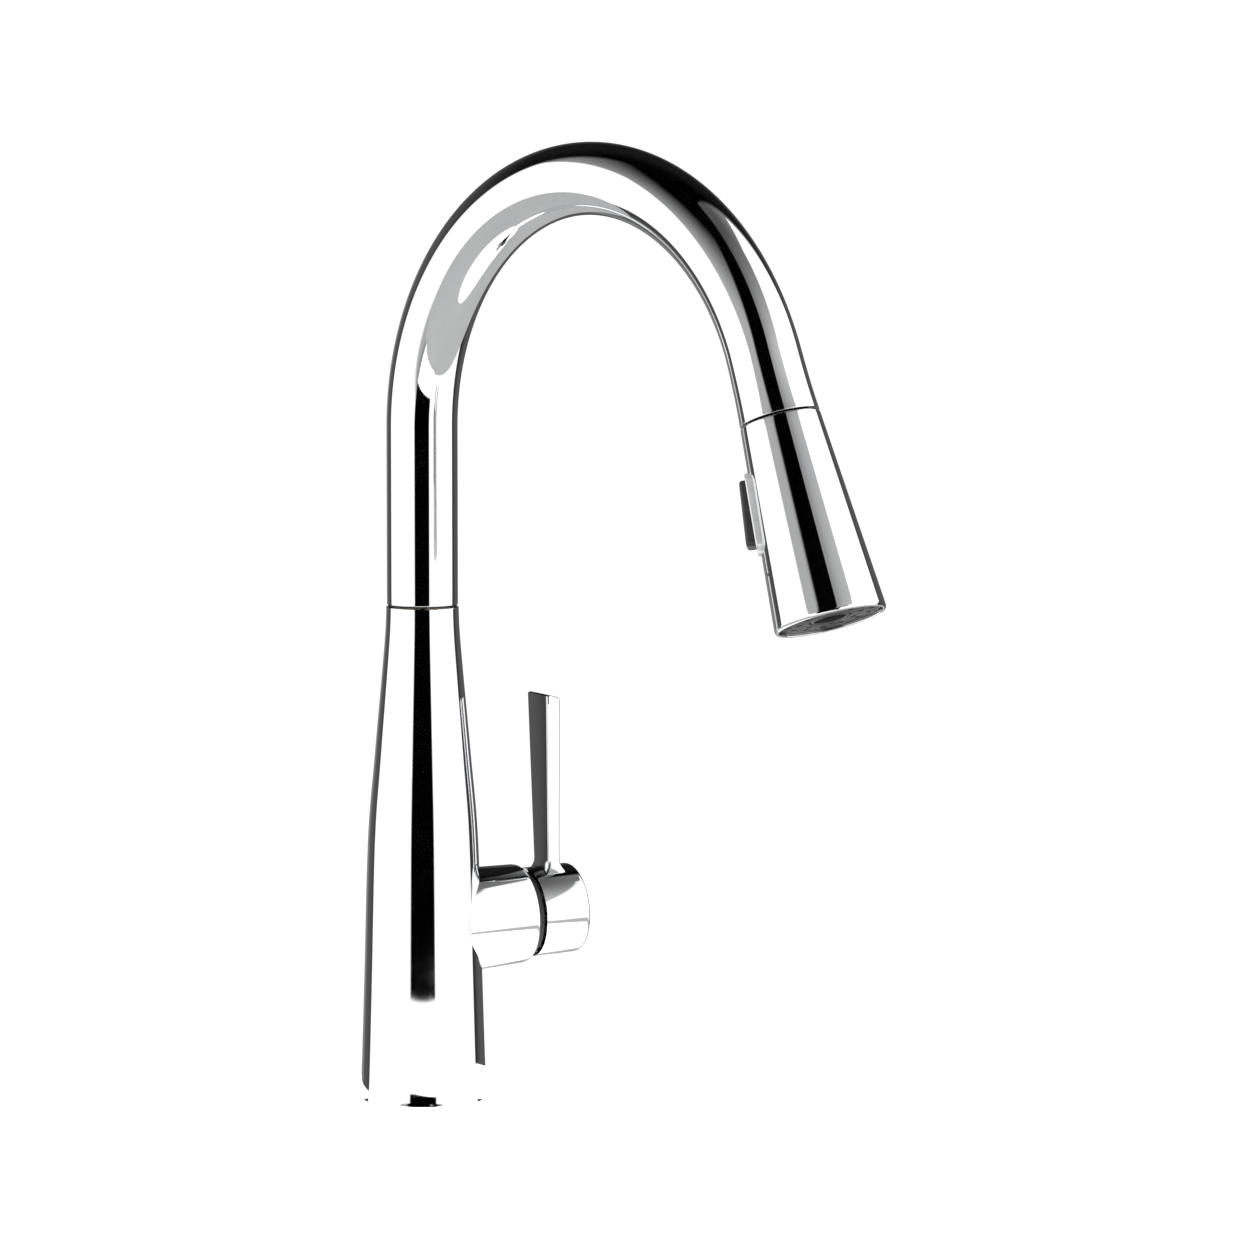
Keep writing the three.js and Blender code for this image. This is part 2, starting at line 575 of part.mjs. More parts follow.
function addWand() {
  add(dockGroup, 'hose_nut', turned([[5.1, -40], [7.6, -40], [7.6, -30], [6.8, -29], [6.8, -23.8], [5.1, -23.8]], 20),
    brass);
  add(wandGroup, 'wand_shell', wandShell(), chrome);
  const neck = turned([[5.2, NECK_TOP], [9.2, NECK_TOP], [11.1, -1], [11.6, 0], [11.6, 5.1], [13.6, 5.1],
    [13.6, 7.6], [5.2, 7.6]]);
  add(wandGroup, 'wand_neck', neck, blackPlastic);
  add(wandGroup, 'keeper_ring', ring(11.9, 13.9, 3.3, 4.8), steel);
  add(wandGroup, 'wand_core', wandCore(), whitePlastic);
  add(wandGroup, 'inlet_screen', disc(5.6, 8.2, 9.2, 20), steel);
  add(wandGroup, 'check_valve', turned([[0, 9.6], [5.6, 9.6], [5.6, 13], [4.8, 14], [4.8, 21], [0, 21]], 20),
    greyPlastic);
  add(wandGroup, 'face_seal', oRing(15.6, 1.2, 65.6), rubber);
  add(wandGroup, 'nozzle_ring', nozzleRing(), silicone);
  add(wandGroup, 'face_plate', facePlate(), blackPlastic);
  add(wandGroup, 'aerator', aerator(), greyPlastic);
  add(wandGroup, 'button_bezel', toButtonFrame(buttonBezel()), chrome);
  add(wandGroup, 'button_pin', toButtonFrame(crossBar(1, -7.2, 7.2, -1)), steel);
  const rest = sprayButton().translate(0, 0, 1).rotateX(BUTTON_TILT).translate(0, 0, -1);
  add(wandGroup, 'spray_button', toButtonFrame(rest), blackPlastic);
  add(wandGroup, 'diverter_plunger', diverterPlunger(), whitePlastic);
  const spring = alongPath(circle(0.5, 5), new SpringCurve(), 40);
  add(wandGroup, 'diverter_spring', placed(spring, 0, -7.5, 0), steel);
}

addBody();
addHandle();
addSpout();
addWand();

export default faucet;
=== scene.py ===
"""Looks of the pull-down kitchen faucet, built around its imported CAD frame.

Every length below is in millimetres until it reaches a mesh, which is in metres. Each
piece is made in one of the frames below, and finished() hands it to the body it rides.
"""
import json
import math

import bmesh
import bpy
from mathutils import Matrix, Vector


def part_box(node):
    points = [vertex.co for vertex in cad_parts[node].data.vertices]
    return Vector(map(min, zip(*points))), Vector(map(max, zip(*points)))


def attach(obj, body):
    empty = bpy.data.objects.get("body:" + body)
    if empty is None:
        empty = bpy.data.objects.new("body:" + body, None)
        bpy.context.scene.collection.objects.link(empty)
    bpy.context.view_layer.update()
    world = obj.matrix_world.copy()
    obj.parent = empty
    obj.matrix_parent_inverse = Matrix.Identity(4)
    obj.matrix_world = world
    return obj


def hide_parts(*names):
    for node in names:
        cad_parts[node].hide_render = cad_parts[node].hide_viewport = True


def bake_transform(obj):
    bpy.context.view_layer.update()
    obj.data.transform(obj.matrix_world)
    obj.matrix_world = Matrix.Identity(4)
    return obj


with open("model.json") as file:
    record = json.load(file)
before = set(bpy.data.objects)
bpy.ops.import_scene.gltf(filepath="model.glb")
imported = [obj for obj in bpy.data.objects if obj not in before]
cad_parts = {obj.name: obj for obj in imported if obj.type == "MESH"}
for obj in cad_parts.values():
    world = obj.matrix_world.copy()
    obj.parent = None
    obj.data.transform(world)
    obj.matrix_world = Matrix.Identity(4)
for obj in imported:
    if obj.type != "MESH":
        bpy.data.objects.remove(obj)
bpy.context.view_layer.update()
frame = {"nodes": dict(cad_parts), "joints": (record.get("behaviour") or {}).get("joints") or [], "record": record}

MM = 0.001
JOINTS = {joint["name"]: joint for joint in frame["joints"]}

# Sizes that the finer pieces share with the CAD ---------------------------------------
# The column, turned from an outline of (radius, height), and the bore of its side hub.
BODY_TOP = 204.4
BODY_OUTLINE = ((26.4, 0.3), (25.7, 9), (24.4, 50), (22.7, 108), (19.9, 142), (16.9, 175), (15.3, 194),
                (14.9, BODY_TOP))
BODY_WALL = 2.2
NECK_BORE = 12.7
HUB_BORE = 17.6
# The handle: distances along the hub from the column's axis, and the lever's height.
PIVOT = 30.0
KNOB_RADIUS = 18.5
KNOB_END = 69.2
LEVER_TOP = 90.8
# The spout: a riser, an arch and a straight dock that points down at a tilt.
SPOUT_BOTTOM = 205.4
TUBE_OUTER = 14.6
TUBE_BORE = 13.2
ARCH_RADIUS = 104.0
ARCH_START = 278.5
DOCK_TILT = math.radians(20.3)
DOCK_STRAIGHT = 25.0
DOCK_OUTER = 16.0
# The wand, a cone that carries on from the dock, and the hose.
WAND_LENGTH = 82.3
WAND_END = 22.3
SIDE_ANGLE = math.atan2(WAND_END - DOCK_OUTER, WAND_LENGTH)
HOSE_RADIUS = 4.8


# Frames -------------------------------------------------------------------------------
def frame_at(origin, z_axis, x_hint):
    """A matrix whose Z runs along z_axis and whose X is as near x_hint as it can be."""
    z = Vector(z_axis).normalized()
    x = Vector(x_hint)
    x = (x - z * x.dot(z)).normalized()
    y = z.cross(x)
    matrix = Matrix((x, y, z)).transposed().to_4x4()
    matrix.translation = Vector(origin)
    return matrix


UPRIGHT = Matrix.Identity(4)
UP = Vector((0, 0, 1))
dock_origin = Vector(JOINTS["wand_swivel"]["pos_m"])
dock_axis = Vector(JOINTS["wand_swivel"]["axis"]).normalized()
reach_direction = Vector((dock_origin.x, dock_origin.y, 0)).normalized()
SPOUT = frame_at((0, 0, 0), UP, reach_direction)
DOCK = frame_at(dock_origin, dock_axis, reach_direction)

pin_origin = Vector(JOINTS["spray_toggle"]["pos_m"])
pin_axis = Vector(JOINTS["spray_toggle"]["axis"]).normalized()
button_side = pin_origin - dock_origin
button_side -= dock_axis * button_side.dot(dock_axis)
WAND = frame_at(dock_origin, dock_axis, button_side)
# The button's frame: X across the wand, Y down its side, Z straight out of it.
button_out = WAND.to_3x3() @ Vector((math.cos(SIDE_ANGLE), 0, -math.sin(SIDE_ANGLE)))
BUTTON = frame_at(pin_origin + button_out * MM, button_out, -pin_axis)

hub_origin = Vector(JOINTS["handle_temperature"]["pos_m"])
hub_axis = Vector(JOINTS["handle_temperature"]["axis"]).normalized()
HUB = frame_at(hub_origin, hub_axis, UP)


# Mesh helpers -------------------------------------------------------------------------
SHARP_DEGREES = 32


def finished(name, mesh, body, material, nodes=(), sharp=SHARP_DEGREES):
    """Adds the mesh as a piece that rides on a body, in a material, instead of CAD nodes."""
    mesh.name = name
    for polygon in mesh.polygons:
        polygon.use_smooth = True
    mesh.set_sharp_from_angle(angle=math.radians(sharp))
    piece = bpy.data.objects.new(name, mesh)
    bpy.context.scene.collection.objects.link(piece)
    mesh.materials.clear()
    mesh.materials.append(material)
    if body:
        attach(piece, body)
    if nodes:
        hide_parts(*nodes)
    return piece


def mesh_of(bm, matrix=UPRIGHT):
    """Closes a bmesh made in millimetres into a mesh in metres, placed by a matrix."""
    bmesh.ops.remove_doubles(bm, verts=bm.verts, dist=1e-4)
    bmesh.ops.recalc_face_normals(bm, faces=bm.faces)
    mesh = bpy.data.meshes.new("made")
    bm.to_mesh(mesh)
    bm.free()
    mesh.transform(matrix @ Matrix.Scale(MM, 4))
    return mesh


def softened(profile, steps=5):
    """Rounds each corner of a closed profile that has a third number, its radius."""
    points = []
    count = len(profile)
    for i, corner in enumerate(profile):
        here = Vector(corner[:2])
        if len(corner) < 3:
            points.append(here)
            continue
        before = Vector(profile[i - 1][:2]) - here
        after = Vector(profile[(i + 1) % count][:2]) - here
        reach = min(corner[2], before.length * 0.49, after.length * 0.49)
        start = here + before.normalized() * reach
        end = here + after.normalized() * reach
        for k in range(steps + 1):
            t = k / steps
            points.append(start * (1 - t) ** 2 + here * (2 * t * (1 - t)) + end * t * t)
    return points


def circle(bm, radius, height, sides):
    """A ring of vertices about Z."""
    angles = [2 * math.pi * i / sides for i in range(sides)]
    return [bm.verts.new((radius * math.cos(a), radius * math.sin(a), height)) for a in angles]


def lathe(profile, matrix=UPRIGHT, sides=96, shape=None):
    """Turns a closed profile of (radius, height) about Z. shape may bend each point."""
    bm = bmesh.new()
    rings = []
    for point in softened(profile):
        if point.x < 1e-6:
            rings.append([bm.verts.new((0, 0, point.y))])
            continue
        rings.append(circle(bm, point.x, point.y, sides))
    bridge(bm, rings, sides)
    if shape:
        for vertex in bm.verts:
            vertex.co = shape(vertex.co)
    return mesh_of(bm, matrix)


def rod(radius, low, high, matrix, sides):
    """A solid cylinder between two heights, mostly to cut a way with."""
    return lathe([(0, low), (radius, low), (radius, high), (0, high)], matrix, sides)


def tube(inner, outer, low, high, matrix=UPRIGHT, sides=96, edge=0.0):
    """A tube between two heights. Its outer edges may be round."""
    rounding = (edge,) if edge else ()
    profile = [(inner, low), (outer, low, *rounding), (outer, high, *rounding), (inner, high)]
    return lathe(profile, matrix, sides)


def bridge(bm, rings, sides, closed=True):
    """Faces between each ring and the next. A ring of one vertex is a point on the axis."""
    last = len(rings) if closed else len(rings) - 1
    for k in range(last):
        a, b = rings[k], rings[(k + 1) % len(rings)]
        if len(a) == 1 and len(b) == 1:
            continue
        for i in range(sides):
            j = (i + 1) % sides
            corners = [a[i % len(a)], a[j % len(a)], b[j % len(b)], b[i % len(b)]]
            unique = list(dict.fromkeys(corners))
            if len(unique) > 2:
                bm.faces.new(unique)


def catmull(points, steps):
    """The uniform Catmull-Rom curve through the points, as the CAD's outline is made."""
    curve = []
    last = len(points) - 1
    for i in range(last * steps + 1):
        t = i / steps
        k = min(int(t), last - 1)
        f = t - k
        p = [Vector(points[max(0, min(last, k + d))]) for d in (-1, 0, 1, 2)]
        slope = p[2] - p[0]
        bend = 2 * p[0] - 5 * p[1] + 4 * p[2] - p[3]
        twist = 3 * p[1] - p[0] - 3 * p[2] + p[3]
        curve.append(0.5 * (2 * p[1] + slope * f + bend * f * f + twist * f ** 3))
    return curve


def combined(mesh, other, operation):
    """The boolean of two meshes in metres, as a mesh."""
    base = bpy.data.objects.new("base", mesh)
    tool = bpy.data.objects.new("tool", other)
    for part in (base, tool):
        bpy.context.scene.collection.objects.link(part)
    modifier = base.modifiers.new("boolean", "BOOLEAN")
    modifier.operation = operation
    modifier.solver = "EXACT"
    modifier.object = tool
    bpy.context.view_layer.update()
    evaluated = base.evaluated_get(bpy.context.evaluated_depsgraph_get())
    result = bpy.data.meshes.new_from_object(evaluated)
    bpy.data.objects.remove(base)
    bpy.data.objects.remove(tool)
    return result


def rounded_outline(width, length, corner, steps=6):
    """Points round a rectangle with round corners, in the XY plane."""
    points = []
    for quarter, (sx, sy) in enumerate(((1, -1), (1, 1), (-1, 1), (-1, -1))):
        centre = Vector((sx * (width / 2 - corner), sy * (length / 2 - corner)))
        for k in range(steps + 1):
            angle = math.pi / 2 * (quarter - 1 + k / steps)
            points.append(centre + corner * Vector((math.cos(angle), math.sin(angle))))
    return points


def loft(sections, matrix):
    """A closed solid through sections, each a list of the same number of points."""
    bm = bmesh.new()
    rings = [[bm.verts.new(point) for point in section] for section in sections]
    bridge(bm, rings, len(rings[0]), closed=False)
    bm.faces.new(rings[0])
    bm.faces.new(rings[-1])
    return mesh_of(bm, matrix)


def prism(outline, low, high, matrix):
    """A flat outline pushed from one height to another."""
    return loft([[Vector((p.x, p.y, z)) for p in outline] for z in (low, high)], matrix)


def round_over(edge, steps):
    """(drop, inset) pairs that turn a wall's top through a quarter circle into a flat."""
    angles = [math.pi / 2 * k / steps for k in range(steps + 1)]
    return [(edge * (1 - math.sin(a)), edge * (1 - math.cos(a))) for a in angles]


def pad(width, length, corner, bottom, top, edge, matrix, steps=6, crown=0.0):
    """A rounded rectangular plate with a round upper edge and a slightly crowned top."""
    least_corner = 0.2
    sections = []
    levels = [(bottom, 0.0)] + [(top - drop, inset) for drop, inset in round_over(edge, steps)]
    for height, inset in levels:
        corner_here = max(corner - inset, least_corner)
        outline = rounded_outline(width - 2 * inset, length - 2 * inset, corner_here)
        sections.append([Vector((p.x, p.y, height)) for p in outline])
    flat_width, flat_length = width - 2 * edge, length - 2 * edge
    for share in (0.75, 0.5, 0.25, 0.05):
        outline = rounded_outline(flat_width * share, flat_length * share, least_corner * share)
        lift = crown * (1 - share * share)
        sections.append([Vector((p.x, p.y, top + lift)) for p in outline])
    return loft(sections, matrix)


def eased(share):
    """A share from 0 to 1, held inside that range and slowed at both ends."""
    t = max(0.0, min(1.0, share))
    return t * t * (3 - 2 * t)


# Materials ----------------------------------------------------------------------------
def new_material(name, colour, metallic, roughness):
    """A material and its Principled shader, with the uniform values set."""
    material = bpy.data.materials.new(name)
    material.use_nodes = True
    shader = material.node_tree.nodes["Principled BSDF"]
    shader.inputs["Base Color"].default_value = (*colour, 1)
    shader.inputs["Metallic"].default_value = metallic
    shader.inputs["Roughness"].default_value = roughness
    return material, shader


def node(material, kind, **inputs):
    """Adds a shader node and sets the named inputs."""
    made = material.node_tree.nodes.new(kind)
    for key, value in inputs.items():
        made.inputs[key].default_value = value
    return made


def link(material, source, socket, target, slot):
    """Joins one node's output to another's input."""
    material.node_tree.links.new(source.outputs[socket], target.inputs[slot])


def object_noise(material, scale, detail=4.0, rough=0.6, stretch=(1, 1, 1)):
    """A noise in the object's own place, stretched along its axes."""
    place = node(material, "ShaderNodeTexCoord")
    mapping = node(material, "ShaderNodeMapping", Scale=stretch)
    noise = node(material, "ShaderNodeTexNoise", Scale=scale, Detail=detail, Roughness=rough)
    link(material, place, "Object", mapping, "Vector")
    link(material, mapping, "Vector", noise, "Vector")
    return noise


def ranged(material, source, socket, low, high, from_low=0.35, from_high=0.65):
    """Maps a texture's value to a range."""
    spread = node(material, "ShaderNodeMapRange")
    spread.inputs["From Min"].default_value = from_low
    spread.inputs["From Max"].default_value = from_high
    spread.inputs["To Min"].default_value = low
    spread.inputs["To Max"].default_value = high
    link(material, source, socket, spread, "Value")
    return spread


def coloured(material, source, socket, low, high):
    """A ramp between two colours."""
    ramp = node(material, "ShaderNodeValToRGB")
    ramp.color_ramp.elements[0].color = (*low, 1)
    ramp.color_ramp.elements[1].color = (*high, 1)
    ramp.color_ramp.elements[0].position = 0.3
    ramp.color_ramp.elements[1].position = 0.7
    link(material, source, socket, ramp, "Fac")
    return ramp


def bumped(material, shader, source, socket, distance, strength):
    """Raises the surface by a texture. The distance is in metres."""
    bump = node(material, "ShaderNodeBump", Distance=distance, Strength=strength)
    link(material, source, socket, bump, "Height")
    link(material, bump, "Normal", shader, "Normal")


def chrome_material():
    """Polished plating: near mirror, with the faint uneven haze of a wiped surface."""
    material, shader = new_material("polished_chrome", (0.86, 0.865, 0.875), 1.0, 0.03)
    haze = object_noise(material, 60, 5.0, 0.55)
    spread = ranged(material, haze, "Fac", 0.018, 0.045)
    link(material, spread, "Result", shader, "Roughness")
    tint = coloured(material, haze, "Fac", (0.85, 0.856, 0.868), (0.87, 0.875, 0.883))
    link(material, tint, "Color", shader, "Base Color")
    return material


def satin_material():
    """The same plating left satin, so that it only blurs what is round it."""
    material, shader = new_material("satin_chrome", (0.8, 0.805, 0.81), 0.55, 0.34)
    haze = object_noise(material, 400, 4.0)
    link(material, ranged(material, haze, "Fac", 0.3, 0.38), "Result", shader, "Roughness")
    tint = coloured(material, haze, "Fac", (0.78, 0.785, 0.79), (0.82, 0.825, 0.83))
    link(material, tint, "Color", shader, "Base Color")
    return material


def machined_material(name, low, high, roughness):
    """Turned metal: fine tool marks across the axis, and a little tarnish."""
    material, shader = new_material(name, low, 1.0, roughness)
    tarnish = object_noise(material, 140, 6.0)
    tint = coloured(material, tarnish, "Fac", low, high)
    link(material, tint, "Color", shader, "Base Color")
    marks = object_noise(material, 90, 3.0, 0.7, (1, 1, 30))
    spread = ranged(material, marks, "Fac", roughness * 0.7, roughness * 1.5)
    link(material, spread, "Result", shader, "Roughness")
    bumped(material, shader, marks, "Fac", 0.00002, 0.6)
    return material


def moulded_material(name, low, high, roughness, grain=900.0, depth=0.00003):
    """Moulded plastic or rubber: a fine grain and a slight unevenness of gloss."""
    material, shader = new_material(name, low, 0.0, roughness)
    cloud = object_noise(material, 120, 4.0)
    tint = coloured(material, cloud, "Fac", low, high)
    link(material, tint, "Color", shader, "Base Color")
    spread = ranged(material, cloud, "Fac", roughness * 0.85, roughness * 1.2)
    link(material, spread, "Result", shader, "Roughness")
    texture = object_noise(material, grain, 3.0)
    bumped(material, shader, texture, "Fac", depth, 0.5)
    return material


def braid_material():
    """Nylon braid: two sets of strands that wind opposite ways over and under."""
    material, shader = new_material("nylon_braid", (0.32, 0.33, 0.34), 0.0, 0.55)
    place = node(material, "ShaderNodeUVMap")
    waves = []
    for turn in (1, -1):
        mapping = node(material, "ShaderNodeMapping")
        mapping.inputs["Rotation"].default_value = (0, 0, turn * math.pi / 4)
        link(material, place, "UV", mapping, "Vector")
        wave = node(material, "ShaderNodeTexWave", Scale=3.2, Distortion=0.0)
        link(material, mapping, "Vector", wave, "Vector")
        waves.append(wave)
    weave = node(material, "ShaderNodeMath")
    weave.operation = "MAXIMUM"
    for k, wave in enumerate(waves):
        material.node_tree.links.new(wave.outputs["Fac"], weave.inputs[k])
    tint = coloured(material, weave, "Value", (0.16, 0.165, 0.17), (0.52, 0.53, 0.54))
    link(material, tint, "Color", shader, "Base Color")
    bumped(material, shader, weave, "Value", 0.0003, 0.9)
    return material


CHROME = chrome_material()
SATIN = satin_material()
BRASS = machined_material("brass_machined", (0.62, 0.45, 0.2), (0.74, 0.58, 0.32), 0.28)
STEEL = machined_material("stainless", (0.5, 0.51, 0.52), (0.64, 0.65, 0.66), 0.26)
COPPER = machined_material("copper_drawn", (0.62, 0.3, 0.18), (0.75, 0.42, 0.28), 0.3)
BLACK = moulded_material("black_moulded", (0.012, 0.012, 0.013), (0.02, 0.02, 0.021), 0.38)
DARK = moulded_material("dark_button", (0.03, 0.029, 0.03), (0.042, 0.04, 0.041), 0.3)
GREY = moulded_material("grey_moulded", (0.26, 0.27, 0.28), (0.34, 0.35, 0.36), 0.42)
WHITE = moulded_material("white_moulded", (0.74, 0.74, 0.71), (0.82, 0.82, 0.79), 0.35)
RUBBER = moulded_material("rubber_black", (0.016,) * 3, (0.028,) * 3, 0.7, 1400, 0.00005)
SILICONE = moulded_material("silicone_grey", (0.028, 0.029, 0.03), (0.04, 0.042, 0.043), 0.55)
BRAID = braid_material()
SLOT_MATERIALS = {
    "chrome": CHROME,
    "brass": BRASS,
    "steel": STEEL,
    "copper": COPPER,
    "black_plastic": BLACK,
    "grey_plastic": GREY,
    "white_plastic": WHITE,
    "rubber": RUBBER,
    "silicone": SILICONE,
    "hose_braid": BRAID,
}


def dress_frame():
    """Gives every CAD node its slot's material and smooth turned faces."""
    slots = {part["node"]: part["material_slot"] for part in frame["record"]["subparts"]}
    for name, piece in frame["nodes"].items():
        piece.data.materials.clear()
        piece.data.materials.append(SLOT_MATERIALS[slots[name]])
        for polygon in piece.data.polygons:
            polygon.use_smooth = True
        piece.data.set_sharp_from_angle(angle=math.radians(SHARP_DEGREES))


# Body ---------------------------------------------------------------------------------
HUB_START = 12.0
HUB_RIM = 20.5
# The rim stops 0.9 mm short of the CAD's, so that more of the black bonnet shows: a dark band between hub and knob
# that is partly the bonnet's own black and partly painted shade of the gap there.
HUB_LENGTH = 44.6
FOOT_EDGE = 0.4
TOP_EDGE = 0.35


def faucet_body():
    """The tapered column and the side hub, one casting. The hub is hollow into the column."""
    outline = catmull(BODY_OUTLINE, 14)
    outside = [(p.x, p.y) for p in outline]
    inside = [(max(p.x - BODY_WALL, NECK_BORE), p.y) for p in reversed(outline)]
    outside[0] = (*outside[0], FOOT_EDGE)
    outside[-1] = (*outside[-1], TOP_EDGE)
    column = lathe(outside + inside, sides=160)
    rim = [(HUB_RIM, HUB_LENGTH - 2.4), (HUB_RIM - 0.4, HUB_LENGTH - 0.7, 1.0),
           (HUB_RIM - 1.3, HUB_LENGTH, 0.7), (HUB_BORE, HUB_LENGTH, 0.3)]
    sleeve = lathe([(HUB_BORE, HUB_START), (HUB_RIM + 1.1, HUB_START), *rim], HUB, 128)
    way = rod(HUB_BORE, HUB_START / 2, HUB_LENGTH + 1, HUB, 128)
    column = combined(column, way, "DIFFERENCE")
    column_bore = BODY_OUTLINE[3][0] - BODY_WALL + 0.6
    bore = rod(column_bore, -60, 60, Matrix.Translation(hub_origin), 160)
    sleeve = combined(sleeve, bore, "DIFFERENCE")
    body = combined(column, sleeve, "UNION")
    finished("body_casting", body, "body", CHROME, ["faucet_body"])


# Handle -------------------------------------------------------------------------------
KNOB_BALL = 25.74
BONNET_BALL = 24.4
BONNET_HOLLOW = 22.8
# The plug's frame: Z points up from the hub's axis, and the plug is under the knob.
PLUG_AT = 60
PLUG = HUB @ Matrix.Translation((0, 0, PLUG_AT * MM)) @ Matrix.Rotation(math.pi / 2, 4, "Y")
# The lever's near face, far face and half width, at its foot and at its top.
LEVER_FOOT = (55.1, 60.3, 7.45)
LEVER_HEAD = (57.0, 63.1, 9.8)
LEVER_FLARE = 1.7
LEVER_FLARE_HEIGHT = 4.0


def on_ball(ball, *radii):
    """Profile points on a ball about the handle's pivot, at radii from the hub's axis."""
    return [(radius, PIVOT + math.sqrt(ball ** 2 - radius ** 2)) for radius in radii]


def handle_pieces():
    """The knob with its plug, and the ball-shaped bonnet that the knob's rim rides on."""
    stem, stem_end = 3.9, 63
    boss, boss_start = 6.6, 55.3
    ceiling = 64.5
    rim = on_ball(KNOB_BALL, 16.5, 17.0, 17.5, 18.0, KNOB_RADIUS)
    edge = (*rim.pop(), 0.35)
    crown = [(KNOB_RADIUS, KNOB_END - 1.2, 1.8), (14, KNOB_END - 0.35), (8, KNOB_END - 0.1),
             (0, KNOB_END)]
    profile = [(0, stem_end), (stem, stem_end), (stem, boss_start), (boss, boss_start), (boss, ceiling),
               (rim[0][0], ceiling), *rim, edge, *crown]
    plug_hole = rod(2.8, -20, -10, PLUG, 32)
    solid = combined(lathe(profile, HUB, 128), plug_hole, "DIFFERENCE")
    finished("knob", solid, "handle", CHROME, ["handle_knob"])
    plug_radius, plug_out, plug_in = 2.55, -18.55, -16.8
    plug = lathe([(0, plug_out), (plug_radius, plug_out, 0.4), (plug_radius, plug_in), (0, plug_in)],
                 PLUG, 32)
    finished("knob_plug", plug, "handle", GREY, ["handle_plug"])
    outside = on_ball(BONNET_BALL, 17.3, 16.6, 16, 15.3, 14.6, 13.9, 13.2)
    inside = on_ball(BONNET_HOLLOW, 13.2, 14, 14.8, 15.7)
    skirt = 38
    bonnet = lathe([(outside[0][0], skirt), *outside, *inside, (inside[-1][0], skirt)], HUB, 96)
    # The bonnet's black, in the gap between hub and knob, is partly painted shade of that gap.
    finished("bonnet", bonnet, "body", BLACK, ["bonnet_ring"])


def handle_lever():
    """A paddle across the hub that widens upwards, with a slanted top and a flared foot."""
    saddle = KNOB_RADIUS + 0.15
    rise = LEVER_TOP - saddle
    edge = 0.9
    near_corner, far_corner = 1.1, 1.7
    most_crown = 0.22
    top_slant = 0.34
    hollow_width, hollow_height = 10, 16

    def section(level, inset=0.0, flare=0.0):
        """The paddle's outline at a level above the knob."""
        share = level / rise
        near, far, half = (foot + (head - foot) * share for foot, head in zip(LEVER_FOOT, LEVER_HEAD))
        near += inset - flare
        far += flare - inset
        half += flare - inset
        corners = [(near, -half, near_corner), (far, -half, far_corner),
                   (far, half, far_corner), (near, half, near_corner)]
        points = []
        for corner in softened(corners, 6):
            crown = most_crown * (1 - (corner.y / half) ** 2)
            out = corner.x + (crown if corner.x > (near + far) / 2 else -crown)
            across = min(abs(corner.y), hollow_width)
            hollow = saddle - math.sqrt(saddle ** 2 - across ** 2)
            hollow *= max(1 - level / hollow_height, 0)
            slant = top_slant * (corner.x - near) * max(share * 1.3 - 0.3, 0)
            points.append(Vector((saddle + level - hollow - slant, corner.y, out)))
        return points

    foot_steps, blade_steps = 10, 24
    sections = []
    for k in range(foot_steps + 1):
        share = k / foot_steps
        sections.append(section(LEVER_FLARE_HEIGHT * share, flare=LEVER_FLARE * (1 - share) ** 2.4))
    blade_rise = rise - edge - LEVER_FLARE_HEIGHT
    for k in range(1, blade_steps + 1):
        sections.append(section(LEVER_FLARE_HEIGHT + blade_rise * k / blade_steps))
    for drop, inset in round_over(edge, 6)[1:]:
        sections.append(section(rise - drop, inset))
    blade = loft(sections, HUB)
    finished("lever", blade, "handle", CHROME, ["handle_lever"], sharp=40)


# Spout --------------------------------------------------------------------------------
ARCH_SWEEP = math.pi - DOCK_TILT
RISER_LENGTH = ARCH_START - SPOUT_BOTTOM
ARCH_LENGTH = ARCH_RADIUS * ARCH_SWEEP
SPOUT_LENGTH = RISER_LENGTH + ARCH_LENGTH + DOCK_STRAIGHT
FLARE_LENGTH = 14
SCREW_HEIGHT = 226


def spout_line(distance):
    """The spout's middle line at a distance from the swivel: (reach, height, angle)."""
    if distance < RISER_LENGTH:
        return 0.0, SPOUT_BOTTOM + distance, 0.0
    along = min(distance - RISER_LENGTH, ARCH_LENGTH)
    angle = along / ARCH_RADIUS
    reach = ARCH_RADIUS * (1 - math.cos(angle))
    height = ARCH_START + ARCH_RADIUS * math.sin(angle)
    rest = distance - RISER_LENGTH - along
    return reach + rest * math.sin(angle), height + rest * math.cos(angle), angle


def along_spout(co):
    """Bends a point of a straight upright tube, its height the distance, onto the spout."""
    reach, height, angle = spout_line(co.z)
    return Vector((reach + co.x * math.cos(angle), co.y, height - co.x * math.sin(angle)))


def spout_radius(distance):
    """The tube's outer radius, which grows a little just above the dock."""
    above = SPOUT_LENGTH - distance
    return TUBE_OUTER + (DOCK_OUTER - TUBE_OUTER) * math.exp(-above / FLARE_LENGTH)


def spout_tube():
    """The bent tube, bored wider at the dock."""
    end = SPOUT_LENGTH - 0.35
    bend_end = RISER_LENGTH + ARCH_LENGTH
    riser_steps, arch_steps, dock_steps = 12, 150, 24
    rows = [RISER_LENGTH * k / riser_steps for k in range(riser_steps)]
    rows += [RISER_LENGTH + ARCH_LENGTH * k / arch_steps for k in range(arch_steps + 1)]
    rows += [bend_end + (end - bend_end) * k / dock_steps for k in range(1, dock_steps + 1)]
    outside = [(spout_radius(s), s) for s in rows]
    outside[0] = (TUBE_OUTER, 0, 0.3)
    outside[-1] = (DOCK_OUTER, end, 0.35)
    dock_mouth, dock_bore, dock_depth, bore_depth = 14.5, 13.6, 20, 26
    inside = [(dock_mouth, end, 0.3), (dock_bore, end - dock_depth)]
    inside += [(TUBE_BORE, s) for s in reversed(rows) if s < end - bore_depth]
    skin = lathe(outside + inside, SPOUT, 112, along_spout)
    finished("spout_skin", skin, "spout", CHROME, ["spout_tube"])


